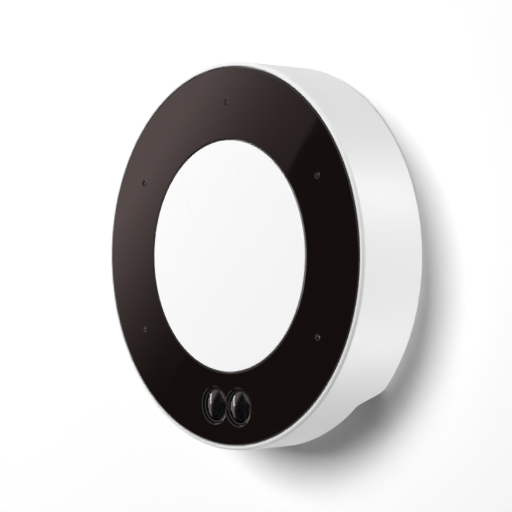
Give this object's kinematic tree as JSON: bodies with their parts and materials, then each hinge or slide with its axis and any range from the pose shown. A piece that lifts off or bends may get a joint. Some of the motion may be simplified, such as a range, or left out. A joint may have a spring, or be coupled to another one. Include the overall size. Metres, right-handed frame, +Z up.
{
  "type": "garage door controller",
  "caption": "Round wall-mounted controller with a glossy black ring, a white centre disc, warning lights, pull-out screw terminals and a twist-lock wall bracket.",
  "frame": {"origin": "centre of the wall bracket's rear face, on the wall", "axes": "+Y out of the controller's back, into the wall; -Y the way its face looks; +Z up; +X to the right as seen from the front"},
  "size_m": [0.13, 0.027, 0.13],
  "materials": {
    "bracket_plastic": "fine moulded texture",
    "housing_white": "satin white moulding",
    "ring_black": "polished black acrylic",
    "disc_white": "plain white, half gloss",
    "bezel_black": "black moulding",
    "lens_clear": "clear smoked lens",
    "reflector_chrome": "metallised",
    "led_white": "ceramic package",
    "pipe_clear": "smoked light guide, unlit",
    "board_green": "solder mask",
    "chip_black": "moulded package",
    "shield_metal": "tinned can",
    "relay_case": "sealed relay case",
    "inductor_grey": "ferrite",
    "capacitor_can": "plain can",
    "sounder_black": "moulded",
    "connector_black": "moulded",
    "header_green": "moulded nylon",
    "plug_green": "moulded nylon",
    "contact_metal": "tinned brass",
    "screw_steel": "zinc plated",
    "button_grey": "fine moulded texture",
    "plunger_black": "moulded",
    "cover_plastic": "fine moulded texture"
  },
  "bodies": {
    "wall_plate": {"wall_bracket": "bracket_plastic"},
    "controller": {"housing": "housing_white", "bezel_ring": "ring_black", "centre_disc": "disc_white", "eye_bezel": "bezel_black", "alarm_lens_left": "lens_clear", "alarm_lens_right": "lens_clear", "alarm_reflectors": "reflector_chrome", "alarm_leds": "led_white", "indicator_leds": "led_white", "light_pipes": "pipe_clear", "main_board": "board_green", "radio_module": "board_green", "sensor_radio": "board_green", "processor": "chip_black", "memory_chips": "chip_black", "relay_drivers": "chip_black", "optocouplers": "chip_black", "regulator": "chip_black", "fuse": "chip_black", "radio_shield": "shield_metal", "relay_1": "relay_case", "relay_2": "relay_case", "relay_3": "relay_case", "power_inductor": "inductor_grey", "filter_capacitors": "capacitor_can", "alarm_sounder": "sounder_black", "power_jack": "connector_black", "reset_switch": "connector_black", "relay_header": "header_green", "sensor_header": "header_green", "relay_header_pins": "contact_metal", "sensor_header_pins": "contact_metal", "power_jack_pin": "contact_metal", "cover_screws": "screw_steel", "board_screws": "screw_steel", "rear_cover": "cover_plastic"},
    "relay_terminal": {"relay_plug": "plug_green", "relay_plug_clamps": "contact_metal", "relay_plug_screws": "screw_steel"},
    "sensor_terminal": {"sensor_plug": "plug_green", "sensor_plug_clamps": "contact_metal", "sensor_plug_screws": "screw_steel"},
    "reset_key": {"reset_button": "button_grey", "reset_plunger": "plunger_black"}
  },
  "joints": [
    {"name": "bracket_twist", "type": "hinge", "parent": "wall_plate", "child": "controller", "pos_m": [0, 0, 0], "axis": [0, 1, 0], "range_deg": [-12, 0]},
    {"name": "relay_plug_pull", "type": "slide", "parent": "controller", "child": "relay_terminal", "axis": [0, 0, -1], "range_m": [0, 0.007]},
    {"name": "sensor_plug_pull", "type": "slide", "parent": "controller", "child": "sensor_terminal", "axis": [0, 0, -1], "range_m": [0, 0.007]},
    {"name": "reset_press", "type": "slide", "parent": "controller", "child": "reset_key", "axis": [0, 0, 1], "range_m": [0, 0.0005], "stiffness_N_per_m": 800, "springref_m": -0.001}
  ]
}
